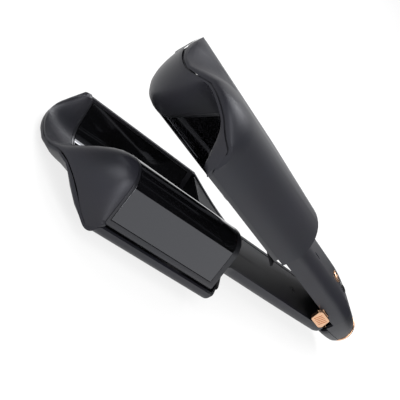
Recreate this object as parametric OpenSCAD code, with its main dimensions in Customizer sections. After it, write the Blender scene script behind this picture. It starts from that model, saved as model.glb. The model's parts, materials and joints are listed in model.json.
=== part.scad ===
// Cordless deep hair waver: two arms on a sprung hinge, each with a wave-shaped hot jaw.
// Millimetres. X runs along the arms with the tips at -X and the hinge end at +X,
// Y runs across the jaws with the front at -Y, Z is up and is the way the jaws open.
// The lower arm lies on the table. The upper arm is drawn open, as it rests.

/* [Part to draw] */
// Sub-part to draw, or all of them

/* [Wave of the plates] */
// How far the hump's centre lies in front of the arm's middle
hump_y = 18.4; // [14:0.2:22]
// Height of the hump's centre over the hinge axis
hump_z = 14.0; // [10:0.2:18]
// Radius of the hump
hump_r = 12.5; // [9:0.25:16]
// Slope of the flat face in front of the hump, in degrees
hump_wall_a = 60.5; // [50:0.5:68]
// How far the dip's centre lies behind the arm's middle
dip_y = 17.5; // [14:0.2:22]
// Height of the dip's centre over the hinge axis
dip_z = 4.7; // [1:0.1:8]
// Radius of the dip
dip_r = 16.4; // [12:0.2:20]
// Slope of the wall behind the dip, in degrees
dip_wall_a = 51; // [44:0.5:60]

/* [Jaws] */
// Distance from the hinge to the tip end of the plates
plate_tip = 242.8; // [220:0.1:260]
// Distance from the hinge to the handle end of the plates
plate_heel = 159.3; // [150:0.1:180]
// Space between the two plates when the jaws are shut
plate_gap = 0.8; // [0.8:0.1:4]
// Thickness of a ceramic plate
plate_t = 1.2; // [0.8:0.1:1.6]
// Air around a plate in its frame
plate_air = 0.25; // [0.1:0.05:0.4]
// How far the frame's lip stands over the plate
lip_h = 0.0; // [-0.2:0.05:0.2]
// Frame beyond the plate at the tip end
lip_tip = 2.0; // [1:0.1:4]
// Frame beyond the plate at the handle end
lip_heel = 4.2; // [2:0.1:6]
// Frame beyond the plate at its long sides
lip_side = 1.2; // [0.8:0.1:3]
// How much narrower the upper plate is at its front, where a flat shelf takes over
upper_shelf = 3.2; // [0:0.1:4]
// Depth of the frame under the plate's face
frame_d = 4.2; // [3:0.1:6]
// Thickness of the heater film
heater_t = 0.3; // [0.2:0.05:0.5]
// Thickness of the felt under the heater
felt_t = 0.5; // [0.3:0.1:0.8]
// Half the width of a jaw
jaw_w = 41.5; // [38:0.5:45]
// Radius of the jaw's shallow edge, at the hump's foot
edge_r = 5; // [3:0.5:8]
// Radius of the jaw's deep edge, outside the dip
belly_r = 21.2; // [16:0.2:24]
// Wall of the outer shells
wall = 2.0; // [1.6:0.1:3]
// Running clearance between a shell and what it holds
fit_air = 0.25; // [0.15:0.05:0.5]
// Flat ground along the belly, so that it lies still
belly_flat = 0.3; // [0.1:0.05:0.6]

/* [Noses] */
// How far the nose reaches past the frame
nose_l = 24.5; // [14:0.5:28]
// How much shorter the upper nose is
nose_less = 2.0; // [0:0.1:4]
// Height of the nose's edge, over the hinge axis, where the wave is level with it
nose_z = -6.2; // [-9:0.2:-3]
// Share of the wave's height that the nose's edge follows
nose_wave = 0.33; // [0.1:0.01:0.6]
// Thickness of a tip cap
cap_t = 2.0; // [1.4:0.1:3]
// Parting gap between a tip cap and its shell
cap_gap = 0.3; // [0.2:0.05:0.6]
// Parting gap between a tip cap and the plate's frame
lip_gap = 0.35; // [0.1:0.05:0.5]

/* [Arms] */
// Half the width of the arms
arm_w = 16.3; // [14:0.1:18]
// Radius of the arms' long edges
arm_r = 8; // [5:0.5:10]
// Underside of the lower arm's end, below the hinge axis
lower_arm_low = 5.6; // [5:0.1:8]
// How much deeper the lower arm gets towards its shoulder
lower_arm_fall = 0.6; // [0:0.1:4]
// Rim of the lower arm, over the hinge axis
lower_rim = 4.2; // [3:0.1:5]
// Rim of the upper arm, over the hinge axis when shut
upper_rim = 5.2; // [4.5:0.1:7]
// Top of the upper arm, over the hinge axis when shut
upper_arm_top = 20.6; // [16:0.2:24]
// How much higher the upper jaw's mid plane lies than the upper arm's rim
jaw_rise = 9.3; // [5:0.1:11]
// Length of the shoulder between a jaw and its arm
shoulder_l = 36; // [20:1:38]
// Distance from the hinge to the end of the lower arm's shell
lower_arm_end = 25.5; // [24:0.1:32]
// How much further the lower arm's end reaches at its underside
end_slant = 4; // [0:0.25:6]
// Thickness of the inner covers
cover_t = 1.4; // [1:0.1:2]

/* [Hinge and base] */
// How far the jaws stand open at rest, in degrees
open_a = 11.5; // [8:0.5:20]
// Radius of the hinge pin
pin_r = 1.5; // [1:0.1:2.5]
// Running clearance of the pin in the lower arm's ears
pin_air = 0.06; // [0.02:0.01:0.1]
// Radius of the lower arm's hinge ears
ear_r = 3.8; // [3.2:0.1:4.2]
// Outer face of the hinge ears, from the middle
ear_out = 6.9; // [6:0.1:8]
// Inner face of the hinge ears, from the middle
ear_in = 5.0; // [4.6:0.1:6]
// Height of the base's axis over the hinge axis
base_z = 3.0; // [1:0.1:4]
// Distance from the hinge to the end of the base
base_end = 8.0; // [7.5:0.1:12]
// Underside of the base's front edge, below the hinge axis
base_low = 7.0; // [6.5:0.1:9]
// Height over the hinge axis at which the base's two halves part
base_part = 0.4; // [-1:0.1:1]
// Radius of the metal ring on the base
ring_r = 10.7; // [10:0.1:12]
// Width of the metal ring
ring_l = 1.6; // [1.2:0.1:4]
// Bevel on the metal ring's outer edge
ring_edge = 0.5; // [0.2:0.1:1]

/* [Controls] */
// Distance from the hinge to the power button
button_x = 53.5; // [50:0.5:80]
// Radius of the power button
button_r = 3.9; // [3:0.1:6]
// Travel of the power button
button_travel = 0.6; // [0.3:0.1:1.5]
// Distance from the hinge to the mode rocker
rocker_x = 39.5; // [36:0.5:42]
// Length of the mode rocker
rocker_l = 10; // [7:0.5:14]
// How far the mode rocker tilts each way, in degrees
rocker_a = 4; // [2:0.5:5]
// Width of the mode rocker
rocker_w = 5.2; // [4:0.2:8]
// Distance from the hinge to the middle of the lock tab
lock_x = 42.4; // [40:0.1:48]
// Length of the lock tab
lock_l = 15.5; // [12:0.5:20]
// Travel of the lock tab towards the jaws
lock_travel = 3.4; // [2.5:0.1:4]
// How far the lock tab leans towards the jaws at its upper edge
lock_lean = 1.2; // [0:0.1:2]
// Air between a control and its opening
control_air = 0.4; // [0.3:0.05:0.6]
// Distance from the hinge to the middle of the status window
window_x = 94; // [88:0.5:110]

/* [Inside] */
// Distance from the hinge to both covers' far screws
lid_far = 122.5; // [116:0.5:124]
// Distance from the hinge to the lower cover's near screw
lower_lid_near = 56.5; // [50:0.5:80]
// Distance from the hinge to the upper cover's near screw
upper_lid_near = 78.5; // [76:0.5:86]
// Radius of a screw post
post_r = 2.6; // [2:0.1:4]
// Air between a cell and what lies round it
cell_air = 0.6; // [0.3:0.1:1]
// Thickness of the lower cell
lower_cell_h = 5.4; // [4:0.1:5.6]
// Thickness of the upper cell
upper_cell_h = 8.6; // [4:0.1:9]

/* [Hidden] */
$fn = 64;
$fa = 6;
// Twice the height of the axis about which one jaw turns over into the other
turn = lower_rim + upper_rim + jaw_rise;
frame_x0 = -plate_tip - lip_tip;
frame_x1 = -plate_heel + lip_heel;
shoulder_x0 = frame_x1 + 3.0;
shoulder_x1 = shoulder_x0 + shoulder_l;
belly_z = 4.4;
upper_belly_z = 3.0;
edge_z = -2.2;
upper_edge_z = -0.6;
ground = belly_r - belly_z - belly_flat;
nose_reach = -frame_x0 + nose_l + lip_gap;
base_reach = base_end * cos(open_a) + (base_z + ring_r - ring_edge) * sin(open_a);
hinge_x = (nose_reach - base_reach) / 2;
plate_half = jaw_w - wall - fit_air - lip_side;
// The lock's bar runs along the inside of the arm's front wall, beside the fork.
lock_out = arm_w - wall - 2.3;
lock_in = lock_out - 1.4;
fork_w = lock_in - 0.45;
lug_x = -lower_arm_end + 3.9;
toe_x = lug_x - 0.7 + lock_travel;
base_x0 = -lower_arm_end + 7;
base_x1 = base_end - ring_l - 0.2;
end_lean = end_slant / (lower_rim + lower_arm_low);
throat_x = -lower_arm_end + end_lean * (lower_rim - base_part) + 0.6;
key_low = upper_arm_top - 2.85;
rocker_pivot = base_top(-rocker_x) - wall - 1.0;
rocker_low = rocker_pivot - 1.0;
board_z = rocker_low - 3.6;
body_black = [0.13, 0.13, 0.15];
soft_black = [0.17, 0.17, 0.19];
gloss_black = [0.04, 0.04, 0.05];
rose = [0.86, 0.62, 0.50];
steel = [0.72, 0.72, 0.74];

// ---------------------------------------------------------------- placing

// Everything is drawn about the hinge axis, then stood on the table.
module on_lower() {
    translate([hinge_x, 0, ground]) children();
}

// The upper arm is drawn shut, then swung open about the hinge axis.
module on_upper() {
    on_lower() rotate([0, open_a, 0]) children();
}

// The upper jaw is drawn lying on its back, as the lower one, and turned over.
module turned_over() {
    translate([0, 0, turn]) rotate([180, 0, 0]) children();
}

// A profile in Y and Z, drawn out along X.
module along(x0, x1) {
    translate([x0, 0, 0]) rotate([90, 0, 90]) linear_extrude(x1 - x0) children();
}

// A plan in X and Y, drawn out along Z.
module rising(z0, z1) {
    translate([0, 0, z0]) linear_extrude(z1 - z0) children();
}

// A box from one corner to the other.
module span(a, b) {
    translate(a) cube(b - a);
}

// A round bar along Y.
module bar_y(r, y0, y1) {
    translate([0, y0, 0]) rotate([-90, 0, 0]) cylinder(r = r, h = y1 - y0);
}

// A round bar along X.
module bar_x(r, x0, x1) {
    translate([x0, 0, 0]) rotate([0, 90, 0]) cylinder(r = r, h = x1 - x0);
}

// ---------------------------------------------------------------- the wave

// One jaw's wave: hump y, z, r, wall slope and length, then the dip's.
function wave(side) = side == 0
    ? wave_of(-hump_y, hump_z, hump_r, hump_wall_a, dip_y, dip_z, dip_r, dip_wall_a, 0)
    : wave_of(-dip_y, turn - plate_gap - dip_z, dip_r, dip_wall_a,
        hump_y, turn - plate_gap - hump_z, hump_r, hump_wall_a, upper_shelf);
function wave_of(y0, z0, r0, a0, y1, z1, r1, a1, shelf) =
    [y0, z0, r0, a0, (plate_half + y0 - r0 * sin(a0)) / cos(a0),
     y1, z1, r1, a1, (plate_half - shelf - y1 - r1 * sin(a1)) / cos(a1)];

// Direction square to the slope between the hump and the dip.
function mid_a(w) = atan2(w[6] - w[1], w[5] - w[0])
    + acos((w[2] + w[7]) / norm([w[5] - w[0], w[6] - w[1]]));
function mid_n(w) = [cos(mid_a(w)), sin(mid_a(w))];
function front_n(w) = [-sin(w[3]), cos(w[3])];
function back_n(w) = [-sin(w[8]), cos(w[8])];

// Where the straight parts meet the arcs, d below the plate's face.
function p1(w, d) = [w[0], w[1]] + (w[2] - d) * front_n(w);
function p2(w, d) = [w[0], w[1]] + (w[2] - d) * mid_n(w);
function p3(w, d) = [w[5], w[6]] - (w[7] + d) * mid_n(w);
function p4(w, d) = [w[5], w[6]] - (w[7] + d) * back_n(w);
function front_end(w, d, e) = p1(w, d) - (w[4] + e) * [cos(w[3]), sin(w[3])];
function back_end(w, d, e) = p4(w, d) + (w[9] + e) * [cos(w[8]), sin(w[8])];

// Points along an arc about c, from one direction to another.
function arc(c, r, a0, a1, n) =
    [for (i = [0:n]) c + r * [cos(mix(a0, a1, i / n)), sin(mix(a0, a1, i / n))]];

// The wave from front to back, d below the plate's face; e lengthens both ends.
wave_steps = 18;
function wave_line(w, d, e) = concat([front_end(w, d, e)],
    arc([w[0], w[1]], w[2] - d, 90 + w[3], mid_a(w), wave_steps),
    arc([w[5], w[6]], w[7] + d, mid_a(w) - 180, w[8] - 90, wave_steps),
    [back_end(w, d, e)]);

// A sheet that follows the wave, between d0 and d1 under the plate's face.
module wave_sheet(w, d0, d1, e) {
    polygon(concat(wave_line(w, d0, e), flip(wave_line(w, d1, e))));
}

// Height of the wave at y, d under the plate's face.
function wave_z(w, d, y) =
    y < p1(w, d)[0] ? p1(w, d)[1] + (y - p1(w, d)[0]) * tan(w[3])
    : y < p2(w, d)[0] ? w[1] + sqrt(max(0, pow(w[2] - d, 2) - pow(y - w[0], 2)))
    : y < p3(w, d)[0] ? p2(w, d)[1] - (y - p2(w, d)[0]) / tan(mid_a(w))
    : y < p4(w, d)[0] ? w[6] - sqrt(max(0, pow(w[7] + d, 2) - pow(y - w[5], 2)))
    : p4(w, d)[1] + (y - p4(w, d)[0]) * tan(w[8]);

// Where the frame's flat shelf starts behind the wave, or its edge where it has none.
function shelf_y(w) = back_end(w, 0, 0)[0] + lip_side;

// ---------------------------------------------------------------- shell section

// A shell's section: front y, centre z and r of its edge, the same at the back,
// then the heights of the front and the back rim and how far the nose reaches.
function jaw_section(side) = side == 0
    ? [jaw_w, edge_z, edge_r, jaw_w, belly_z, belly_r, 0.0, 4.8, nose_l]
    : [jaw_w, upper_edge_z, edge_r, jaw_w, upper_belly_z, belly_r, 5.1, 6.6,
        nose_l - nose_less];
function lower_low(x) = lower_arm_low + lower_arm_fall
    * (1 - pow(1 - max(0, min(1, (-x - lower_arm_end) / 60)), 1.6));
function lower_arm_section(x) = [arm_w, arm_r - lower_low(x), arm_r,
    arm_w, arm_r - lower_low(x), arm_r, lower_rim, lower_rim];

// The upper arm narrows and drops until it is nearly round at the ring.
function slim(x) = pow(max(0, min(1, (x + 36) / (base_x1 + 36))), 2);
function drop(x) = pow(max(0, min(1, (x + 50) / (base_x1 + 50))), 1.6);
function base_w(x) = mix(arm_w, ring_r - 0.4, slim(x));
function base_top(x) = mix(upper_arm_top, base_z + ring_r - 0.4, drop(x));
function base_r(x) = mix(arm_r, ring_r - 0.6, slim(x));
function upper_arm_section(x, rim) = [base_w(x), turn - base_top(x) + base_r(x),
    base_r(x), base_w(x), turn - base_top(x) + base_r(x), base_r(x),
    turn - rim, turn - rim];
function mix(a, b, k) = a + (b - a) * k;

// Direction square to the section's sloping floor.
function floor_a(s) = atan2(s[4] - s[1], s[3] - s[5] + s[0] - s[2])
    - acos((s[2] - s[5]) / norm([s[3] - s[5] + s[0] - s[2], s[4] - s[1]]));
function on_edge(s, a, t) = [-s[0] + s[2], s[1]] + (s[2] - t) * [cos(a), sin(a)];
function on_belly(s, a, t) = [s[3] - s[5], s[4]] + (s[5] - t) * [cos(a), sin(a)];

// Solid inside the section, t in from its skin and open h over its rims.
module tray(s, t, h) {
    polygon(concat([[-s[0] + t, s[6] + h]], skin(s, t), [[s[3] - t, s[7] + h]]));
}

// The section's wall as a closed loop of points: along its skin and back inside.
edge_steps = 6;
floor_steps = 7;
belly_steps = 13;
function skin(s, t) = concat([[-s[0] + t, s[6]]],
    [for (i = [0:edge_steps]) on_edge(s, mix(-180, floor_a(s), i / edge_steps), t)],
    [for (i = [1:floor_steps - 1])
        mix(on_edge(s, floor_a(s), t), on_belly(s, floor_a(s), t), i / floor_steps)],
    [for (i = [0:belly_steps]) on_belly(s, mix(floor_a(s), 0, i / belly_steps), t)],
    [[s[3] - t, s[7]]]);
function flip(p) = [for (i = [len(p) - 1:-1:0]) p[i]];
function wall_loop(s, t) = concat(skin(s, 0), flip(skin(s, t)));
function at_x(x, loop) = [for (p = loop) [x, p[0], p[1]]];

// Joins a row of such loops into one solid.
module loft(loops) {
    n = len(loops[0]);
    m = len(loops);
    pts = [for (l = loops) for (p = l) p];
    sides = [for (j = [0:m - 2]) for (i = [0:n - 1])
        let (a = j * n + i, b = j * n + (i + 1) % n, c = b + n, d = a + n)
        each [[a, c, b], [a, d, c]]];
    caps = [for (i = [0:n / 2 - 2])
        let (a = i, b = i + 1, c = n - 2 - i, d = n - 1 - i, z = (m - 1) * n)
        each [[a, b, c], [a, c, d], [z + a, z + c, z + b], [z + a, z + d, z + c]]];
    polyhedron(points = pts, faces = concat(sides, caps), convexity = 6);
}

// ---------------------------------------------------------------- noses

// How far the nose reaches at y, and how high its edge lies there.
function plan_k(y) = pow(max(0, 1 - pow(abs(y) / (jaw_w + 0.3), 2.5)), y < 0 ? 1.1 : 0.6);
function reach(s, y) = 1.5 + (s[8] - 1.5) * plan_k(y);
function skin_z(s, y) = y < -s[0] + s[2]
    ? s[1] - sqrt(max(0, pow(s[2], 2) - pow(y + s[0] - s[2], 2)))
    : y < on_belly(s, floor_a(s), 0)[0]
    ? on_belly(s, floor_a(s), 0)[1]
        + (y - on_belly(s, floor_a(s), 0)[0]) * -1 / tan(floor_a(s))
    : s[4] - sqrt(max(0, pow(s[5], 2) - pow(y - s[3] + s[5], 2)));
// The edge follows the wave, high before the hump and low before the dip.
function edge_height(w, s, y) = mix(skin_z(s, y) + 0.8, nose_z + nose_wave * cap_top(w, y),
    sqrt(max(0, 1 - pow(abs(y) / jaw_w, 4))));
nose_steps = 8;
function nose_t(k) = sin(90 * k / nose_steps);
// The underside rounds up to the edge, but runs out straight at the waist between
// the hump and the dip.
waist_y = -12;
function round_k(y) = let (k = min(1, abs(y - waist_y) / 18)) k * k * (3 - 2 * k);
function shell_ease(t, y) = mix(t, 1 - sqrt(max(0, 1 - t * t)), round_k(y));
function cap_ease(t) = 1 - pow(max(0, 1 - t * t), 0.85);

// How far each point of the wall ends below the nose's edge.
function edge_drop(i, n) = i == 0 || i == n / 2 - 1 ? 1.0
    : i == n / 2 || i == n - 1 ? 0.7
    : i < n / 2 ? 2.0 : cap_gap + 0.45;
function nose_loop(w, s, loop, t) = [for (i = [0:len(loop) - 1])
    let (p = loop[i], z = edge_height(w, s, p[0]) - edge_drop(i, len(loop)))
    [frame_x0 - reach(s, p[0]) * t, p[0], mix(p[1], z, shell_ease(t, p[0]))]];

// Wall loops of a jaw's shell, from its nose's edge to the end of its shoulder.
function jaw_loops(side, arm) = let (s = jaw_section(side), loop = wall_loop(s, wall))
    concat([for (k = [nose_steps:-1:0]) nose_loop(wave(side), s, loop, nose_t(k))],
        shoulder_loops(s, arm));

// The cap runs from the frame's face down to the nose's edge.
cap_w = jaw_w - 0.2;
cap_steps = 36;
function cap_y(i) = mix(-cap_w, cap_w, i / cap_steps);
function held(w, y) = max(-plate_half - lip_side, min(shelf_y(w), y));
function cap_top(w, y) = wave_z(w, -lip_h, held(w, y));
function slope_k(w, y) = norm([1, (cap_top(w, y + 0.1) - cap_top(w, y - 0.1)) / 0.2]);
function rim_z(s, y) = y < 0 ? s[6] : s[7];
function over_rim(y) = abs(y) > jaw_w - wall - 1.2;
// The cap's edge, which keeps its gap over the shell's rim at both sides.
function cap_edge(w, s, y) = let (g = y < 0 ? -1 : 1) !over_rim(y) ? edge_height(w, s, y)
    : mix(edge_height(w, s, g * (jaw_w - wall)) - 0.7, edge_height(w, s, g * jaw_w) - 1.0,
        max(0, (abs(y) - jaw_w + wall) / wall)) + cap_gap;
function cap_low(w, s, y) = over_rim(y)
    ? min(cap_top(w, y) - 0.4, max(rim_z(s, y) + cap_gap, cap_top(w, y) - 3))
    : cap_top(w, y) - cap_t * min(2.2, slope_k(w, y));
function cap_loop(w, s, t) = concat(
    [for (i = [0:cap_steps]) let (y = cap_y(i)) [frame_x0 - lip_gap - reach(s, y) * t, y,
        mix(cap_top(w, y), cap_edge(w, s, y) + 1.1, cap_ease(t))]],
    [for (i = [cap_steps:-1:0]) let (y = cap_y(i)) [frame_x0 - lip_gap - reach(s, y) * t, y,
        mix(cap_low(w, s, y), cap_edge(w, s, y),
            over_rim(y) ? shell_ease(t, y) : cap_ease(t))]]);

module tip_cap(side) {
    w = wave(side);
    s = jaw_section(side);
    loft([for (k = [0:nose_steps]) cap_loop(w, s, nose_t(k))]);
}

// ---------------------------------------------------------------- jaw parts

shoulder_steps = [0, 0.04, 0.09, 0.15, 0.22, 0.31, 0.42, 0.55, 0.7, 0.85, 1];
// The shallow edge draws in sooner than the deep one.
function draw_in(u, deep) = deep ? 1 - pow(1 - pow(u, 1.05), 1.75)
    : 1 - pow(1 - pow(min(1, u / 0.62), 1.3), 2.4);
function shoulder_loops(s, e) = [for (u = shoulder_steps)
    at_x(mix(shoulder_x0, shoulder_x1, u), wall_loop([for (i = [0:7])
        mix(s[i], e[i], draw_in(u, i > 2 && i != 6))], wall))];

// Half width of the shoulder's hollow at u along it, on its shallow or deep side.
function hollow(u, deep) = mix(jaw_w, arm_w, draw_in(u, deep)) - wall - fit_air;

// The frame's section, e longer than the wave, with its shelf where it has one.
module frame_section(w, e) {
    y = shelf_y(w);
    z = wave_z(w, -lip_h, y);
    out = jaw_w - wall - fit_air + 0.4;
    top = wave_line(w, -lip_h, e);
    under = wave_line(w, frame_d, e);
    polygon(y > out - 0.6 ? concat(top, flip(under)) : concat(
        [for (i = [0:len(top) - 2]) top[i]],
        [[y, z], [out, z], [out, min(z - 0.6, wave_z(w, frame_d, out))]],
        [for (i = [len(under) - 2:-1:0]) under[i]]));
}

module plate_frame(side) {
    w = wave(side);
    s = jaw_section(side);
    difference() {
        along(frame_x0, frame_x1) intersection() {
            frame_section(w, lip_side / cos(hump_wall_a) + 1.2);
            tray(s, wall + fit_air, 60);
        }
        along(-plate_tip - plate_air, -plate_heel + plate_air)
            wave_sheet(w, -3, plate_t + plate_air, plate_air);
        along(-plate_tip + 3, -plate_heel - 3) wave_sheet(w, 0.5, frame_d + 1, -3);
    }
}

module wave_plate(side) {
    along(-plate_tip, -plate_heel) wave_sheet(wave(side), 0, plate_t, 0);
}

module heater_film(side) {
    d = plate_t + 0.15;
    difference() {
        along(-plate_tip + 3.5, -plate_heel - 3.5)
            wave_sheet(wave(side), d, d + heater_t, -3.6);
        for (x = [-plate_tip + 14:14:-plate_heel - 10])
            span([x, -60, -40], [x + 1.2, 30, 60]);
    }
}

module felt_pad(side) {
    d = plate_t + heater_t + 0.25;
    along(-plate_tip + 3.5, -plate_heel - 3.5)
        wave_sheet(wave(side), d, d + felt_t, -3.6);
}

// Lid over the shoulder's and the arm's hollow.
module lid_plan(x_end, w_end) {
    function edge(deep) = concat(
        [for (u = shoulder_steps) [mix(shoulder_x0, shoulder_x1, u), hollow(u, deep)]],
        [[-36, arm_w - wall - fit_air], [x_end, w_end - wall - fit_air]]);
    polygon(concat(edge(true), [for (p = flip(edge(false))) [p[0], -p[1]]]));
}

// ---------------------------------------------------------------- lower arm

module lower_shell() {
    color(body_black) on_lower() difference() {
        lower_arm_shell();
        span([-300, -60, -30], [-100, 60, -ground]);
    }
}

module lower_arm_shell() {
    e = lower_arm_section(-lower_arm_end);
    close = [e[0] - 1.0, e[1] + 0.7, e[2] - 0.7, e[3] - 1.0, e[4] + 0.7, e[5] - 0.7,
        e[6], e[7]];
    low_rim = [for (i = [0:7]) close[i] - (i > 5 ? 0.3 : 0)];
    loft(concat(jaw_loops(0, lower_arm_section(shoulder_x1)),
        [for (k = [3:-1:1]) let (x = -lower_arm_end - 4 - 18 * k)
            at_x(x, wall_loop(lower_arm_section(x), wall))],
        [lower_end(-4, wall_loop(e, wall)),
         lower_end(-1.2, wall_loop(mix(e, close, 0.35), wall)),
         lower_end(0, wall_loop(close, wall))]));
    // The end wall, a little short of the shell's edge
    loft([lower_end(-wall - 0.3, plug_loop(low_rim, 0.8)),
        lower_end(-0.3, plug_loop(low_rim, 0.8))]);
    lower_lid_posts();
    hinge_fork();
}

// The lower arm's end leans, and reaches furthest at its underside.
function lower_end(dx, loop) = [for (p = loop)
    [dx - lower_arm_end + end_lean * (lower_rim - p[1]), p[0], p[1]]];
// The section's inside as a loop whose points face each other across it.
function plug_loop(s, t) = let (p = skin(s, t))
    concat(p, [for (q = flip(p)) [q[0], s[6]]]);

// The fork that the lower arm turns on, with its web and its lock catch.
module hinge_fork() {
    x0 = -lower_arm_end - 1;
    x1 = -lower_arm_end + 1.3;
    difference() {
        union() {
            rising(-2.8, 2.6) polygon([[x0, -fork_w], [x1, -fork_w], [-15, -fork_w + 0.9],
                [-9.5, -ear_out], [0, -ear_out], [0, ear_out], [-9.5, ear_out],
                [-15, fork_w - 0.9], [x1, fork_w], [x0, fork_w]]);
            bar_y(ear_r, -ear_out, ear_out);
            span([lug_x, -lock_out, 0], [lug_x + 1.4, -fork_w + 0.5, 1.6]);
        }
        span([-9, -ear_in, -10], [12, ear_in, 10]);
        bar_y(pin_r + pin_air, -10, 10);
        span([x0 + 2, -5.5, -1.4], [-11.5, 5.5, 4]);
    }
}

module lower_lid_posts() {
    z1 = lower_rim - 0.2 - cover_t - 0.2;
    for (x = [-lid_far, -lower_lid_near]) translate([x, 0, 0]) difference() {
        rising(wall / 2 - lower_low(x), z1) circle(r = post_r);
        rising(-3.5, z1 + 1) circle(r = 0.95);
    }
}

module lid_screws_at(xs) {
    for (x = xs) translate([x, 0, 0]) children();
}

module lower_tip_cap() {
    color(soft_black) on_lower() tip_cap(0);
}

module lower_frame() {
    color(soft_black) on_lower() plate_frame(0);
}

module lower_plate() {
    color(gloss_black) on_lower() wave_plate(0);
}

module lower_heater() {
    color(rose) on_lower() heater_film(0);
}

module lower_felt() {
    color([0.9, 0.9, 0.85]) on_lower() felt_pad(0);
}

module lower_cover() {
    z = lower_rim - 0.2;
    color(soft_black) on_lower() difference() {
        rising(z - cover_t, z) lid_plan(-lower_arm_end - wall - fit_air, arm_w);
        lid_screws_at([-lid_far, -lower_lid_near]) {
            translate([0, 0, z - 0.9]) cylinder(r = 2.2, h = 3);
            cylinder(r = 1.2, h = 10);
        }
    }
}

module lower_cell() {
    z1 = lower_rim - 0.2 - cover_t - cell_air;
    color([0.35, 0.45, 0.6]) on_lower()
        cell(-lid_far, -lower_lid_near, z1 - lower_cell_h, z1);
}

// A pouch cell between two posts. Its corners keep clear of the arm's round edges.
module cell(x0, x1, z0, z1) {
    r = 2;
    w = arm_w - wall - fit_air - cell_air - (arm_r - wall) / 3;
    along(x0 + post_r + cell_air, x1 - post_r - cell_air) {
        translate([r - w, z0]) square([2 * w - 2 * r, z1 - z0]);
        translate([-w, z0 + r]) square([2 * w, z1 - z0 - 2 * r]);
        for (y = [r - w, w - r]) for (z = [z0 + r, z1 - r]) translate([y, z]) circle(r = r);
    }
}

module lower_screws() {
    z = lower_rim - 0.3;
    color(steel) on_lower() lid_screws_at([-lid_far, -lower_lid_near]) cover_screw(z);
}

module cover_screw(z) {
    difference() {
        union() {
            translate([0, 0, z - 0.75]) cylinder(r = 2.0, h = 0.75);
            translate([0, 0, z - 6]) cylinder(r = 0.9, h = 5.6);
        }
        translate([-1.1, -0.25, z - 0.4]) cube([2.2, 0.5, 1]);
        translate([-0.25, -1.1, z - 0.4]) cube([0.5, 2.2, 1]);
    }
}

// ---------------------------------------------------------------- upper arm

module upper_shell() {
    color(body_black) on_upper() difference() {
        union() {
            turned_over() upper_arm_shell();
            upper_lid_posts();
        }
        control_openings();
        // Notch in the rim for the lock tab's stem
        span([-lock_x - 3 - lock_travel - control_air, -arm_w - 2, upper_rim - 1],
            [-lock_x + 3 + control_air, -arm_w + wall + 1, upper_rim + 1.8]);
    }
}

module upper_arm_shell() {
    arm = upper_arm_section(-100, upper_rim);
    loft(concat(jaw_loops(1, arm),
        [for (k = [0:6]) let (x = mix(-60, throat_x - 0.6, k / 6))
            at_x(x, wall_loop(upper_arm_section(x, upper_rim), wall))],
        [for (k = [0:9]) let (x = mix(throat_x, base_x1, k / 9))
            at_x(x, wall_loop(upper_arm_section(x, base_part), wall))]));
}

module upper_lid_posts() {
    lid_screws_at([-lid_far, -upper_lid_near]) difference() {
        rising(upper_rim + cover_t + 0.4, upper_arm_top - wall / 2) circle(r = post_r);
        rising(0, 14) circle(r = 0.95);
    }
}

// Openings for the button, the rocker and the status window.
module control_openings() {
    translate([-button_x, 0, 10]) cylinder(r = button_r + control_air, h = 20);
    rising(10, 30) translate([-rocker_x, 0])
        slot_plan(rocker_l + 2 * control_air + 8 * sin(rocker_a), rocker_w + 2 * control_air);
    rising(12, 30) translate([-window_x, -6.6]) slot_plan(8, 1.5);
}

module slot_plan(l, w) {
    translate([-l / 2 + w / 2, 0]) circle(d = w);
    translate([l / 2 - w / 2, 0]) circle(d = w);
    translate([-l / 2 + w / 2, -w / 2]) square([l - w, w]);
}

module upper_tip_cap() {
    color(soft_black) on_upper() turned_over() tip_cap(1);
}

module upper_frame() {
    color(soft_black) on_upper() turned_over() plate_frame(1);
}

module upper_plate() {
    color(gloss_black) on_upper() turned_over() wave_plate(1);
}

module upper_heater() {
    color(rose) on_upper() turned_over() heater_film(1);
}

module upper_felt() {
    color([0.9, 0.9, 0.85]) on_upper() turned_over() felt_pad(1);
}

module upper_cover() {
    z = upper_rim + 0.2;
    color(soft_black) on_upper() difference() {
        rising(z, z + cover_t) mirror([0, 1]) lid_plan(throat_x - 1, base_w(throat_x - 1));
        lid_screws_at([-lid_far, -upper_lid_near]) {
            translate([0, 0, z - 2.1]) cylinder(r = 2.2, h = 3);
            cylinder(r = 1.2, h = 10);
        }
        span([-lock_x - 3 - lock_travel - control_air, -20, 0],
            [0, -lock_in + control_air, 20]);
    }
}

module upper_cell() {
    z0 = upper_rim + 0.2 + cover_t + cell_air;
    color([0.35, 0.45, 0.6]) on_upper()
        cell(-lid_far, -upper_lid_near, z0, z0 + upper_cell_h);
}

module upper_screws() {
    z = upper_rim + 0.3;
    color(steel) on_upper() lid_screws_at([-lid_far, -upper_lid_near])
        rotate([180, 0, 0]) cover_screw(-z);
}

// ---------------------------------------------------------------- base

module base_lower_cover() {
    top = base_part - 0.3;
    r0 = 6.4;
    r1 = 7.2;
    color(body_black) on_upper() difference() {
        loft([for (k = [0:8]) let (x = mix(base_x0, base_x1, pow(k / 8, 1.2)),
                c = k == 0 ? 0.7 : 0, r = mix(r0, r1, slim(x)) - c,
                low = mix(base_low, ring_r - 0.4 - base_z, slim(x)) - c)
            at_x(x, wall_loop([base_w(x) - c, r - low, r, base_w(x) - c, r - low, r,
                top, top], 1.8))]);
        // Throat for the lower arm's fork
        rising(-20, -1) polygon([[-40, -fork_w - 0.8], [base_x0, -fork_w - 0.8],
            [-15, -fork_w + 0.1], [-8.8, -ear_out - 0.8], [-8.8, ear_out + 0.8],
            [-15, fork_w - 0.1], [base_x0, fork_w + 0.8], [-40, fork_w + 0.8]]);
    }
}

module at_base() {
    translate([0, 0, base_z]) children();
}

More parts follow.
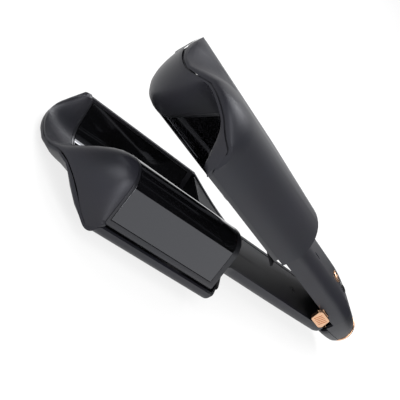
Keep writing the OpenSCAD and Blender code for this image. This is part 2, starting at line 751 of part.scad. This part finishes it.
// Arch inside the base that holds the pin and keeps the two halves round.
module base_collar() {
    r = ring_r - 2.2;
    color(body_black) on_upper() difference() {
        union() {
            difference() {
                at_base() bar_x(r, -4, 3.6);
                at_base() bar_x(r - 1.2, -5, 5);
                span([-5, -20, -20], [5, 20, -2.4]);
            }
            for (y = [ear_out + 0.3, -ear_out - 1.6]) bar_y(2.9, y, y + 1.3);
        }
        bar_y(pin_r, -10, 10);
        span([-5, -ear_out - 0.3, -20], [5, ear_out + 0.3, ear_r + 0.4]);
    }
}

module base_ring() {
    x0 = base_end - ring_l;
    color(rose) on_upper() difference() {
        at_base() rotate([0, 90, 0]) rotate_extrude($fn = 96) polygon([
            [ring_r - 1.2, x0], [ring_r - 0.3, x0], [ring_r, x0 + 0.3],
            [ring_r, base_end - ring_edge], [ring_r - ring_edge, base_end],
            [ring_r - 1.2, base_end]]);
        at_base() rotate([33, 0, 0])
            span([base_end - 0.9, -12, -1.2], [base_end + 1, -9, 1.2]);
    }
}

module end_cap() {
    color(soft_black) on_upper() at_base() difference() {
        bar_x(ring_r - 1.3, base_x1 + 0.3, base_end - 0.3);
        along(base_x1, base_end) slot_plan(9.5, 3.7);
    }
}

module charge_socket() {
    x1 = base_end - 0.5;
    color(steel) on_upper() at_base() {
        difference() {
            along(3.6, x1) slot_plan(9.2, 3.4);
            along(4.0, x1 + 1) slot_plan(8.6, 2.8);
        }
        span([3.8, -3.2, -0.35], [x1 - 0.7, 3.2, 0.35]);
    }
}

module hinge_pin() {
    color(steel) on_upper() bar_y(pin_r, -ear_out - 1.5, ear_out + 1.5);
}

module torsion_spring() {
    color(steel) on_upper() {
        for (i = [-2:2]) translate([0, i * 1.1, 0]) rotate([90, 0, 0])
            rotate_extrude($fn = 48) translate([2.5, 0]) circle(r = 0.5, $fn = 32);
        translate([0, 2.2, 2.5]) bar_x(0.42, -7.5, 0);
        translate([0, -2.2, -2.5]) bar_x(0.42, -6, 0);
        for (i = [-2:1]) translate([2.5, i * 1.1, 0]) bar_y(0.4, 0, 1.1);
    }
}

module control_board() {
    z = board_z;
    x = -rocker_x;
    color([0.1, 0.35, 0.2]) on_upper() {
        span([-button_x - 14, -9, z], [x + 6, 9, z + 1.2]);
        span([-button_x - 12, -5, z - 1.2], [-button_x - 6, 2, z]);
        span([x - 8, -6, z - 1.0], [x - 2, 5, z]);
        span([-button_x - 10, 3, z + 1.2], [-button_x - 6, 7, z + 2.6]);
    }
}

// Switches on the board, one under the button and one under each end of the rocker.
module key_switches() {
    z = board_z + 1.25;
    keys = [[-button_x, key_low - button_travel - 0.3],
        [-rocker_x - 3, rocker_low - 4 * sin(rocker_a) - 0.35],
        [-rocker_x + 3, rocker_low - 4 * sin(rocker_a) - 0.35]];
    color(steel) on_upper() for (k = keys) {
        span([k[0] - 2, -2.2, z], [k[0] + 2, 2.2, k[1] - 0.4]);
        translate([k[0], 0, k[1] - 0.6]) cylinder(r = 0.9, h = 0.6);
    }
}

module status_window() {
    color([0.5, 0.5, 0.55]) on_upper()
        rising(upper_arm_top - 2.2, upper_arm_top - 0.25)
            translate([-window_x, -6.6]) slot_plan(7.7, 1.2);
}

// ---------------------------------------------------------------- controls

module power_button() {
    top = upper_arm_top + 0.9;
    color(rose) on_upper() translate([-button_x, 0, 0]) difference() {
        union() {
            rising(key_low + 0.4, top - 0.3) circle(r = button_r);
            translate([0, 0, top - 0.3])
                cylinder(r1 = button_r, r2 = button_r - 0.4, h = 0.3);
            rising(key_low, key_low + 1) circle(r = 1.0);
        }
        rising(top - 0.35, top + 1) circle(r = 1.1);
    }
}

// The rocker tilts on two short trunnions under the arm's wall.
module mode_rocker() {
    top = base_top(-rocker_x) + 0.6;
    color(gloss_black) on_upper() translate([-rocker_x, 0, 0]) {
        difference() {
            rising(rocker_pivot - 0.6, top) slot_plan(rocker_l, rocker_w);
            translate([0, 0, top + 21.6]) bar_y(22, -5, 5);
        }
        translate([0, 0, rocker_pivot]) bar_y(0.6, -rocker_w / 2 - 0.9, rocker_w / 2 + 0.9);
        for (x = [-3, 3]) translate([x, 0, 0]) rising(rocker_low, rocker_pivot)
            circle(r = 1);
    }
}

// Tab outside the arm's wall, a stem through the rim's notch, and inside it a bar
// whose foot catches under the lower arm's lug when the jaws are shut.
module lock_slider() {
    y0 = -arm_w - 2.5;
    y1 = -arm_w - 0.4;
    z0 = upper_rim + 0.25;
    color(rose) on_upper() {
        difference() {
            translate([0, y1, 0]) rotate([90, 0, 0]) linear_extrude(y1 - y0)
                tab_face(-2.5, upper_rim + 1.0, 2.2);
            for (i = [-2:2]) translate([i * 2.2 - lock_x, y0 - 0.1, 0])
                rotate([-90, 0, 0]) linear_extrude(0.45)
                    translate([-0.4, -4.6]) square([0.8, 5.6]);
        }
        span([-lock_x - 3, y1 - 0.1, z0], [-lock_x + 3, -lock_in, z0 + 1.1]);
        span([-lock_x - 3, -lock_out, z0], [toe_x + 3.9, -lock_in, z0 + 2.75]);
        span([toe_x + 2.5, -lock_out, -2.0], [toe_x + 3.9, -lock_in, z0 + 1]);
        span([toe_x, -lock_out, -2.0], [toe_x + 3.9, -lock_in, -0.4]);
    }
}

// The tab's face, a rounded rectangle that leans towards the jaws.
module tab_face(z0, z1, r) {
    a = atan(2 * lock_lean / (z1 - z0));
    function at(u, v, a0, a1) = arc([-lock_x + u * (lock_l / 2 - r) - v * lock_lean,
        v > 0 ? z1 - r : z0 + r], r, a0, a1, 6);
    polygon(concat(at(1, -1, -90, a), at(1, 1, a, 90), at(-1, 1, 90, 180 + a),
        at(-1, -1, 180 + a, 270)));
}

// ---------------------------------------------------------------- output

lower_shell();
lower_tip_cap();
lower_frame();
lower_plate();
lower_heater();
lower_felt();
lower_cover();
lower_cell();
lower_screws();
upper_shell();
upper_tip_cap();
upper_frame();
upper_plate();
upper_heater();
upper_felt();
upper_cover();
upper_cell();
upper_screws();
base_lower_cover();
base_collar();
base_ring();
end_cap();
charge_socket();
hinge_pin();
torsion_spring();
control_board();
key_switches();
status_window();
power_button();
mode_rocker();
lock_slider();
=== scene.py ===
# %% [markdown]
# # A deep hair waver, dressed for the studio
# A deep hair waver presses hair between two wave-shaped hot plates. The packed
# model already holds every moulded piece in its true place: two arms, the plates,
# the lock, the keys and the base. This lesson gives those pieces smooth shading
# and lifelike finishes, and adds the small trim that a drawing office leaves to
# the studio. What comes packed is never moved, and its meshes stay as they are.

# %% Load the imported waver
import bpy
import bmesh
import json
import math
from mathutils import Matrix, Vector


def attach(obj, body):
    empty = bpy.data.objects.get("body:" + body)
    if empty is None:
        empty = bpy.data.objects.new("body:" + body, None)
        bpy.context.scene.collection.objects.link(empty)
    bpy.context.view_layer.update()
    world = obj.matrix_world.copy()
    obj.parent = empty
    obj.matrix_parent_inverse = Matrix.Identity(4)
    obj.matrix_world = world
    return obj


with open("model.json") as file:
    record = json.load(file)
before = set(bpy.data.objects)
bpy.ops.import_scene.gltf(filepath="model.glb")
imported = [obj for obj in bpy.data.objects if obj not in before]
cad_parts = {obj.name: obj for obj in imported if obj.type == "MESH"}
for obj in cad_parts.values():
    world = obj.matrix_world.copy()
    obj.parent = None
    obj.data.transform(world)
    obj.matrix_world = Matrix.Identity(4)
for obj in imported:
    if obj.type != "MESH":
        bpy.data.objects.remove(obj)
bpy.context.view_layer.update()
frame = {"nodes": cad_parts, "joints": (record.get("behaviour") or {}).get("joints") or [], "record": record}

parts = frame["nodes"]

# %% [markdown]
# ## Where the hinge is
# The two arms turn on one pin in the base, and the camera and the trim are
# measured from it. Its place could be typed in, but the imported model's own joint
# gives it, so it can't drift away from the solids. The upper arm stands open by
# 11.5 degrees. Small sizes are written in millimetres, as on a maker's drawing.

# %% Hinge and opening
mm = 0.001
hinge = Vector(next(j for j in frame["joints"] if j["name"] == "jaw_hinge")["pos_m"])
open_angle = math.radians(11.5)
print("hinge at", [round(c, 4) for c in hinge])

# %% [markdown]
# ## The camera
# The waver is seen from its tips, from above and well to one side, and the camera
# is rolled until the arms fall away to the lower right. Three angles could turn
# it, but angles hide which one rolls, and three directions say it plainly. A
# camera's own axes are right, up and backwards, so down and forward change sign.
# The lens comes from a focal length counted in pixels of the frame, which the
# width of the sensor turns into millimetres.

# %% Set the camera
cam_right = Vector((0.573975, -0.164384, 0.802204))
cam_down = Vector((0.411136, -0.789369, -0.455921))
cam_forward = Vector((0.708181, 0.591502, -0.385494))
cam_from_hinge = Vector((-582.67, -338.54, 239.00)) * mm
focal_pixels = 1065.1
frame_pixels = 400.0
sensor_mm = 36.0
near_clip = 0.05
far_clip = 60.0


def put_in_scene(name, data):
    """An object that carries the data, linked into the scene."""
    o = bpy.data.objects.new(name, data)
    bpy.context.scene.collection.objects.link(o)
    return o


camera_data = bpy.data.cameras.new("studio_camera")
camera_data.sensor_width = sensor_mm
camera_data.lens = sensor_mm * focal_pixels / frame_pixels
camera_data.clip_start = near_clip
camera_data.clip_end = far_clip
camera = put_in_scene("studio_camera", camera_data)
turn = Matrix((cam_right, -cam_down, -cam_forward)).transposed()
camera.matrix_world = Matrix.Translation(hinge + cam_from_hinge) @ turn.to_4x4()
bpy.context.scene.camera = camera
print("lens", round(camera_data.lens, 1), "mm")

# %% [markdown]
# ## Blank materials
# Every finish in this lesson is a small tree of nodes. A new material comes with
# nodes of its own, which would have to be picked out one by one. So this helper
# clears them all and hands back the nodes and the links, ready to be built up.

# %% A blank material
def material(name):
    """An empty node material, with its nodes and its links."""
    m = bpy.data.materials.new(name)
    m.use_nodes = True
    m.node_tree.nodes.clear()
    return m, m.node_tree.nodes, m.node_tree.links


white = (1, 1, 1, 1)
print("materials start blank, and white is", white)

# %% [markdown]
# ## White to the eye, dim to the light
# A product like this is shown on seamless white. More lamps would make the floor
# white too, but they would also turn the black mouldings grey. So table and
# backdrop are bright only to the eye, to mirrors and to glass, and shed little
# light on matt surfaces. The Light Path node tells those rays apart.

# %% Bright to the eye and in mirrors
def seen_or_mirrored(nodes, links, share):
    """The share where a ray comes from the eye, a mirror or glass, and zero elsewhere."""
    path = nodes.new("ShaderNodeLightPath")
    total = path.outputs["Is Camera Ray"]
    for ray in ("Is Glossy Ray", "Is Transmission Ray"):
        add = nodes.new("ShaderNodeMath")
        add.operation = "ADD"
        add.use_clamp = True
        links.new(total, add.inputs[0])
        links.new(path.outputs[ray], add.inputs[1])
        total = add.outputs[0]
    scale = nodes.new("ShaderNodeMath")
    scale.operation = "MULTIPLY"
    scale.inputs[1].default_value = share
    links.new(total, scale.inputs[0])
    return scale.outputs[0]


def bright_to_the_eye(nodes, links, dim, bright, share, out):
    """Mixes the bright shader over the dim one for the eye and for mirrors."""
    mix = nodes.new("ShaderNodeMixShader")
    links.new(seen_or_mirrored(nodes, links, share), mix.inputs["Fac"])
    links.new(dim.outputs[0], mix.inputs[1])
    links.new(bright.outputs[0], mix.inputs[2])
    links.new(mix.outputs[0], out.inputs["Surface"])


print("bright to the eye, mirrors and glass, dim to the rest")

# %% [markdown]
# ## The table
# The table is the white sheet that the waver lies on. A studio bends its paper up
# at the back, but a flat sheet that runs far past the view needs no bend, because
# the backdrop is as white as the sheet is. Under the white glow is a matt coat,
# which keeps the waver's own soft shadow.

# %% Table
table_reach = 20
table_coat = (0.86, 0.86, 0.86, 1)
table_glow = 0.8


def table_finish():
    m, nodes, links = material("white_table")
    out = nodes.new("ShaderNodeOutputMaterial")
    lit = nodes.new("ShaderNodeBsdfDiffuse")
    lit.inputs["Color"].default_value = table_coat
    glow = nodes.new("ShaderNodeEmission")
    glow.inputs["Color"].default_value = white
    bright_to_the_eye(nodes, links, lit, glow, table_glow, out)
    return m


def stage_sheet(name, corners, finish):
    """One flat face that belongs to the set, not to the waver."""
    mesh = bpy.data.meshes.new(name)
    mesh.from_pydata(corners, [], [tuple(range(len(corners)))])
    mesh.materials.append(finish)
    sheet = put_in_scene(name, mesh)
    return sheet


stage_sheet("table", [(table_reach * x, table_reach * y, 0)
                      for x, y in ((-1, -1), (1, -1), (1, 1), (-1, 1))], table_finish())
print("table laid,", 2 * table_reach, "m across")

# %% [markdown]
# ## The backdrop
# Behind the table stands a white wall. A real wall would need its own lamps, so
# the world does its work: full white to the eye and in the plates' mirrors, and
# only a dim fill for everything matt.

# %% Backdrop
fill_strength = 0.35
wall_strength = 1.0
wall_glow = 1.0


def background(nodes, strength):
    shader = nodes.new("ShaderNodeBackground")
    shader.inputs["Color"].default_value = white
    shader.inputs["Strength"].default_value = strength
    return shader


world = bpy.data.worlds.new("studio")
bpy.context.scene.world = world
world.use_nodes = True
wall = world.node_tree
wall.nodes.clear()
bright_to_the_eye(wall.nodes, wall.links, background(wall.nodes, fill_strength),
                  background(wall.nodes, wall_strength), wall_glow,
                  wall.nodes.new("ShaderNodeOutputWorld"))
print("fill", fill_strength, "and wall", wall_strength)

# %% [markdown]
# ## The lamps
# Black plastic shows only what it mirrors. Small lamps would leave hard dots on
# it, so these are large and soft. One stands over the tips, one on the camera's
# side, one overhead for the sheen along the shell, and a weak one behind for the
# far edges. Each is given by where it stands and by the point that it faces.

# %% Lamps
def lamp(name, place, aim, size, watts):
    """An oblong lamp at place that faces aim, in metres and watts."""
    data = bpy.data.lights.new(name, "AREA")
    data.shape = "RECTANGLE"
    data.size, data.size_y = size
    data.energy = watts
    o = put_in_scene(name, data)
    o.location = place
    o.rotation_mode = "QUATERNION"
    o.rotation_quaternion = (Vector(aim) - Vector(place)).to_track_quat("-Z", "Y")
    print("lamp", name, watts, "W")


lamp("key", place=(-0.7, -0.5, 1.1), aim=(0, 0, 0.03), size=(0.9, 0.9), watts=12)
lamp("sheen", place=(-0.05, -1.05, 0.72), aim=(-0.1, 0, 0.06), size=(0.6, 0.45), watts=7)
lamp("overhead", place=(0.16, 0.42, 1.12), aim=(-0.08, 0, 0.06), size=(1.2, 0.9), watts=15)
lamp("back", place=(0.42, 0.50, 0.92), aim=(0.0, 0, 0.06), size=(0.4, 0.3), watts=3)

# %% [markdown]
# ## Black cloth for the mirrors
# Glossy black shows its form by what it mirrors, so a studio hangs black cloth
# over it. A darker finish would not do the same, because it would dull the bright
# faces as well. Under a wide round cloth the plates' steep faces still mirror the
# white walls, and their crests mirror the cloth. A low card beyond the handle
# keeps the handle dark. The eye sees neither of them, and they cast no shadow.

# %% Cloth and card
cloth_radius = 2.8
cloth_height = 1.3
cloth_corners = 96
cloth_black = (0.004, 0.004, 0.004, 1)
card_x = 0.5
card_near, card_far = -0.34, 0.3
card_foot, card_top = 0.002, 0.19


def black_cloth_finish():
    m, nodes, links = material("black_cloth")
    out = nodes.new("ShaderNodeOutputMaterial")
    dull = nodes.new("ShaderNodeBsdfDiffuse")
    dull.inputs["Color"].default_value = cloth_black
    links.new(dull.outputs[0], out.inputs["Surface"])
    return m


cloth_finish = black_cloth_finish()


def black_cloth(name, corners):
    """A black sheet that only mirrors see."""
    cloth = stage_sheet(name, corners, cloth_finish)
    cloth.visible_camera = False
    cloth.visible_diffuse = False
    cloth.visible_shadow = False


cloth_turns = [k * math.tau / cloth_corners for k in range(cloth_corners)]
black_cloth("ceiling_cloth", [(cloth_radius * math.cos(t), cloth_radius * math.sin(t),
                               cloth_height) for t in cloth_turns])
black_cloth("handle_card", [(card_x, card_near, card_foot), (card_x, card_far, card_foot),
                            (card_x, card_far, card_top), (card_x, card_near, card_top)])
print("cloth hung at", cloth_height, "m")

# %% [markdown]
# ## Joining the doubled points
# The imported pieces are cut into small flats, as a drawing office keeps them, with
# doubled points where flats meet and normals stored at each corner. Joining them
# in the mesh would be the shortest way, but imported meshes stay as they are, so a
# modifier does it. It is a group of nodes, which all the pieces can share.

# %% A group that joins
weld_distance = 1e-6


def open_group(name):
    """An empty group from geometry to geometry, with its nodes, links and two ends."""
    tree = bpy.data.node_groups.new(name, "GeometryNodeTree")
    tree.interface.new_socket("Geometry", in_out="INPUT", socket_type="NodeSocketGeometry")
    tree.interface.new_socket("Geometry", in_out="OUTPUT", socket_type="NodeSocketGeometry")
    nodes, links = tree.nodes, tree.links
    return tree, nodes, links, nodes.new("NodeGroupInput"), nodes.new("NodeGroupOutput")


def weld_group(name):
    tree, nodes, links, inp, out = open_group(name)
    drop = nodes.new("GeometryNodeRemoveAttribute")
    drop.inputs["Name"].default_value = "custom_normal"
    weld = nodes.new("GeometryNodeMergeByDistance")
    weld.inputs["Distance"].default_value = weld_distance
    links.new(inp.outputs[0], drop.inputs["Geometry"])
    links.new(drop.outputs["Geometry"], weld.inputs["Geometry"])
    links.new(weld.outputs["Geometry"], out.inputs[0])
    return tree


joined = weld_group("joined")
print("group", joined.name, "welds within", weld_distance, "m")

# %% [markdown]
# ## Soft bends
# On the real waver light runs smoothly over a bend and breaks only at an edge.
# Smooth shading on every face would smear the edges too. So the second group
# measures how far each edge bends, and keeps it sharp above a limit.

# %% A group that smooths
soft_bend_degrees = 32


def smooth_group(name, limit):
    """Smooth faces, with every edge that bends by more than the limit kept sharp."""
    tree, nodes, links, inp, out = open_group(name)
    faces = nodes.new("GeometryNodeSetShadeSmooth")
    faces.domain = "FACE"
    edges = nodes.new("GeometryNodeSetShadeSmooth")
    edges.domain = "EDGE"
    edges.inputs["Shade Smooth"].default_value = False
    angle = nodes.new("GeometryNodeInputMeshEdgeAngle")
    compare = nodes.new("FunctionNodeCompare")
    compare.data_type = "FLOAT"
    compare.operation = "GREATER_THAN"
    compare.inputs["B"].default_value = math.radians(limit)
    links.new(inp.outputs[0], faces.inputs["Geometry"])
    links.new(faces.outputs["Geometry"], edges.inputs["Geometry"])
    links.new(angle.outputs["Unsigned Angle"], compare.inputs["A"])
    links.new(compare.outputs["Result"], edges.inputs["Selection"])
    links.new(edges.outputs["Geometry"], out.inputs[0])
    return tree


soft_bends = smooth_group("soft_bends", soft_bend_degrees)
print("group", soft_bends.name, "smooths up to", soft_bend_degrees, "degrees")

# %% [markdown]
# ## Broken edges
# A mould can't give a knife edge, so each rim of the real waver is broken by a
# fraction of a millimetre. Those narrow bands draw the thin light lines along its
# lips. The solids could carry them, at the cost of many small faces. A bevel
# modifier adds them here only, and only to the pieces that show. Weighted normals
# after it keep the large faces flat, or the plates would mirror in patches.

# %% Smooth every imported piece
sharp_edge_degrees = 38
broken_edges_mm = {
    "lower_shell": 0.30, "upper_shell": 0.30, "lower_tip_cap": 0.25, "upper_tip_cap": 0.25,
    "lower_frame": 0.22, "upper_frame": 0.22, "lower_plate": 0.15, "upper_plate": 0.15,
    "lower_cover": 0.25, "upper_cover": 0.25, "base_lower_cover": 0.25, "end_cap": 0.15,
    "lock_slider": 0.22, "power_button": 0.12, "mode_rocker": 0.2, "charge_socket": 0.08}


def smooth(o, break_mm=None):
    """Joins a piece's points, breaks its sharp edges where a width is given, and shades it."""
    o.modifiers.new("joined", "NODES").node_group = joined
    if break_mm:
        edge = o.modifiers.new("broken_edges", "BEVEL")
        edge.width = break_mm * mm
        edge.segments = 2
        edge.limit_method = "ANGLE"
        edge.angle_limit = math.radians(sharp_edge_degrees)
        edge.use_clamp_overlap = True
    o.modifiers.new("soft_bends", "NODES").node_group = soft_bends
    if break_mm:
        flat = o.modifiers.new("flat_faces", "WEIGHTED_NORMAL")
        flat.mode = "FACE_AREA_WITH_ANGLE"
        flat.keep_sharp = True


for name, o in parts.items():
    smooth(o, broken_edges_mm.get(name))
print("smoothed", len(parts), "pieces and broke the edges of", len(broken_edges_mm))

# %% [markdown]
# ## The parts of a finish
# No moulded or plated surface is quite even. Its gloss and its tone wander a
# little, and it has a fine relief. A painted image could hold that, but noise
# worked out at each point needs no unwrapping and has no seams. So each finish
# starts as one shader on its output, and noises at the scales that it needs.

# %% Shader and noise
def surface(name):
    """A material with one Principled shader on its output."""
    m, nodes, links = material(name)
    out = nodes.new("ShaderNodeOutputMaterial")
    bsdf = nodes.new("ShaderNodeBsdfPrincipled")
    links.new(bsdf.outputs[0], out.inputs["Surface"])
    return m, nodes, links, bsdf


def noise(nodes, links, place, scale, detail):
    n = nodes.new("ShaderNodeTexNoise")
    n.inputs["Scale"].default_value = scale
    n.inputs["Detail"].default_value = detail
    links.new(place, n.inputs["Vector"])
    return n.outputs


print("shader and noise ready")

# %% [markdown]
# ## From noise to gloss, tone and relief
# A noise runs from 0 to 1, and a finish needs it as a roughness, as a colour or
# as a height. Colour ramps could do the first two, but a ramp's ends are fiddly
# to set by number. Map Range takes its two ends as they are, for a number and for
# a colour alike, and a bump turns the noise into a height.

# %% Gloss, tone and relief
# The vector sockets of Map Range share names with its plain ones, so they go by number.
vector_in, vector_low, vector_high, vector_out = 6, 9, 10, 1


def wander(nodes, links, source, low, high):
    """A number between low and high, as the source goes from 0 to 1."""
    n = nodes.new("ShaderNodeMapRange")
    n.inputs["To Min"].default_value = low
    n.inputs["To Max"].default_value = high
    links.new(source, n.inputs["Value"])
    return n.outputs[0]


def mottle(nodes, links, source, dark, light):
    """A colour between dark and light, as the source goes from 0 to 1."""
    n = nodes.new("ShaderNodeMapRange")
    n.data_type = "FLOAT_VECTOR"
    n.inputs[vector_low].default_value = dark
    n.inputs[vector_high].default_value = light
    links.new(source, n.inputs[vector_in])
    return n.outputs[vector_out]


def relief(nodes, links, source, strength, height):
    n = nodes.new("ShaderNodeBump")
    n.inputs["Strength"].default_value = strength
    n.inputs["Distance"].default_value = height
    links.new(source, n.inputs["Height"])
    return n.outputs[0]


print("gloss, tone and relief ready")

# %% [markdown]
# ## A grainy finish
# Moulded plastic carries the fine spark erosion of its mould, and handling leaves
# its gloss a little uneven. One even, rough black would look like paper. So a
# broad noise moves the gloss and the tone, and a fine one gives the grain, which
# is small enough to vanish a step away. The sheen is slightly cool.

# %% A grainy finish
cool_sheen = (0.90, 0.92, 1.0, 1.0)
broad_scale, broad_detail = 38.0, 4.0
grain_detail = 3.0
grain_height = 0.04 * mm
darker, lighter = 0.86, 1.14


def grainy(name, color, rough, spread, grain, depth, specular=0.5, ior=1.5):
    """A moulded finish: its gloss wanders by spread, and its relief has a grain and a depth."""
    m, nodes, links, bsdf = surface(name)
    bsdf.inputs["Specular IOR Level"].default_value = specular
    bsdf.inputs["Specular Tint"].default_value = cool_sheen
    bsdf.inputs["IOR"].default_value = ior
    place = nodes.new("ShaderNodeTexCoord").outputs["Object"]
    broad = noise(nodes, links, place, broad_scale, broad_detail)
    fine = noise(nodes, links, place, grain, grain_detail)
    gloss = wander(nodes, links, broad["Fac"], rough - spread, rough + spread)
    tone = mottle(nodes, links, broad["Color"],
                  [c * darker for c in color], [c * lighter for c in color])
    links.new(gloss, bsdf.inputs["Roughness"])
    links.new(tone, bsdf.inputs["Base Color"])
    links.new(relief(nodes, links, fine["Fac"], depth, grain_height), bsdf.inputs["Normal"])
    return m


print("grain up to", round(grain_height / mm, 3), "mm high")

# %% [markdown]
# ## Black plastics
# The shells and covers are soft matt black, the tip caps and frames satin, and
# the end cap, the rocker and the window glossy. They could share one black, but
# the eye tells such pieces apart by their gloss, so each kind has its own. The
# ceramic coat of the plates comes from the same helper, with next to no grain and
# a stronger mirror.

# %% Black plastics
shell_finish = grainy("matt_shell", (0.008, 0.008, 0.0115), rough=0.46, spread=0.04,
                      grain=2600, depth=0.05, specular=0.34)
cap_finish = grainy("satin_cap", (0.013, 0.013, 0.0165), rough=0.38, spread=0.03,
                    grain=2600, depth=0.22, specular=0.30)
frame_finish = grainy("satin_frame", (0.010, 0.010, 0.012), rough=0.30, spread=0.03,
                      grain=2400, depth=0.2)
cover_finish = grainy("matt_cover", (0.010, 0.010, 0.011), rough=0.46, spread=0.04,
                      grain=2600, depth=0.3, specular=0.3)
plate_finish = grainy("ceramic_plate", (0.003, 0.003, 0.0035), rough=0.055, spread=0.008,
                      grain=900, depth=0.003, ior=1.8)
gloss_finish = grainy("gloss_black", (0.010, 0.010, 0.011), rough=0.14, spread=0.02,
                      grain=900, depth=0.05)
window_finish = grainy("smoked_window", (0.012, 0.012, 0.014), rough=0.12, spread=0.02,
                       grain=900, depth=0.03)
print("black finishes mixed, from", plate_finish.name, "to", cover_finish.name)

# %% [markdown]
# ## Inside the arms
# Under the covers lie the etched film that heats each plate, the felt behind it,
# the wrapped cells and the board. Nobody sees them while the covers are on, but
# the pieces can be taken apart, so each gets its own finish. They come from the
# same helper, because a film or a wrap is as uneven as a moulding is.

# %% Inner finishes
film_finish = grainy("heater_film", (0.45, 0.20, 0.05), rough=0.3, spread=0.05,
                     grain=1200, depth=0.1)
felt_finish = grainy("felt", (0.62, 0.60, 0.54), rough=0.9, spread=0.05,
                     grain=1500, depth=0.8)
cell_finish = grainy("cell_wrap", (0.05, 0.11, 0.22), rough=0.35, spread=0.05,
                     grain=1200, depth=0.1)
board_finish = grainy("board", (0.01, 0.09, 0.04), rough=0.35, spread=0.05,
                      grain=1200, depth=0.1)
print("inner finishes mixed")

# %% [markdown]
# ## Rose metal and steel
# The lock, the power key and the ring are plated in rose, and the pin and the
# spring are steel. A metal's colour belongs in the base colour, since a metal
# tints what it mirrors. Fine brushing goes into gloss, tone and relief. Drawing
# the noise out along one direction makes its specks into brush strokes.

# %% Metals
brush_scale, brush_detail = 900.0, 3.0
brush_depth = 0.12
brush_height = 0.03 * mm
glossier, duller = 0.75, 1.25
deeper, paler = 0.92, 1.06


def plated(name, color, rough, brush=(1.0, 1.0, 1.0)):
    """A metal finish. A low number in brush draws the strokes out along that axis."""
    m, nodes, links, bsdf = surface(name)
    bsdf.inputs["Metallic"].default_value = 1.0
    stretch = nodes.new("ShaderNodeMapping")
    stretch.inputs["Scale"].default_value = brush
    links.new(nodes.new("ShaderNodeTexCoord").outputs["Object"], stretch.inputs["Vector"])
    strokes = noise(nodes, links, stretch.outputs[0], brush_scale, brush_detail)
    gloss = wander(nodes, links, strokes["Fac"], rough * glossier, rough * duller)
    tone = mottle(nodes, links, strokes["Color"],
                  [c * deeper for c in color], [min(1.0, c * paler) for c in color])
    links.new(gloss, bsdf.inputs["Roughness"])
    links.new(tone, bsdf.inputs["Base Color"])
    links.new(relief(nodes, links, strokes["Fac"], brush_depth, brush_height),
              bsdf.inputs["Normal"])
    return m


rose_finish = plated("rose_plate", (0.74, 0.44, 0.27), rough=0.26, brush=(1.0, 0.12, 1.0))
steel_finish = plated("steel", (0.60, 0.60, 0.62), rough=0.3)
black_steel_finish = plated("blackened_steel", (0.045, 0.045, 0.048), rough=0.35)
print("metals mixed")

# %% [markdown]
# ## Who wears what
# Each piece names a slot in the record, and each slot gets one finish. A list by
# piece would do as well, but a list by slot is shorter, and new pieces fall into
# place. Only the screws differ: they are steel like the pin, but blackened, so
# that they don't catch the eye on the black covers.

# %% Dress the pieces
finishes = {
    "shell": shell_finish, "tip_cap": cap_finish, "frame": frame_finish,
    "plate": plate_finish, "heater": film_finish, "felt": felt_finish,
    "cover": cover_finish, "cell": cell_finish, "steel": steel_finish,
    "switch": steel_finish, "ring": rose_finish, "end_cap": gloss_finish,
    "board": board_finish, "window": window_finish, "key": rose_finish,
    "rocker": gloss_finish, "lock": rose_finish,
}
for entry in frame["record"]["subparts"]:
    o = parts[entry["node"]]
    o.data.materials.clear()
    o.data.materials.append(finishes[entry["material_slot"]])
for name in ("lower_screws", "upper_screws"):
    parts[name].data.materials[0] = black_steel_finish
print("dressed", len(parts), "pieces in", len(finishes), "slots")

# %% [markdown]
# ## Inner lips of the tip caps
# Between a tip cap and its shell runs a fine parting gap. On the real nose an
# inner lip of the cap laps behind that gap, so that no light shows through it. A
# lip could be drawn afresh, but it has the cap's own form, drawn in a little
# towards the handle and into the shell. So it is made from two moved copies of
# the cap's mesh, one step behind the other, and shares the cap's body and finish.

# %% Fit the inner lips
# Each step: millimetres towards the handle, share of the width kept, millimetres inwards.
lip_steps = ((1.5, 0.975, 1.2), (1.0, 0.986, 0.6))


def inner_lip(cap_name, body, angle, side):
    """The lip of one cap. The arm stands open by the angle, and side says which way is inwards."""
    form = bmesh.new()
    away, back = Matrix.Rotation(-angle, 4, "Y"), Matrix.Rotation(angle, 4, "Y")
    for along, width, into in lip_steps:
        step = parts[cap_name].data.copy()
        for v in step.vertices:
            own = away @ (v.co - hinge)
            own = Vector((own.x + along * mm, own.y * width, own.z + side * into * mm))
            v.co = hinge + back @ own
        form.from_mesh(step)
        bpy.data.meshes.remove(step)
    mesh = bpy.data.meshes.new(cap_name.replace("tip_cap", "nose_lip"))
    form.to_mesh(mesh)
    form.free()
    mesh.materials.append(cap_finish)
    lip = put_in_scene(mesh.name, mesh)
    smooth(lip)
    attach(lip, body)
    print("fitted", lip.name, "on", body)


inner_lip("lower_tip_cap", "lower_arm", 0.0, -1)
inner_lip("upper_tip_cap", "upper_arm", open_angle, 1)

# %% [markdown]
# ## The view
# A film-like view would soften the colours, so the plain Standard one is set.

# %% Set the view
bpy.context.scene.view_settings.view_transform = "Standard"
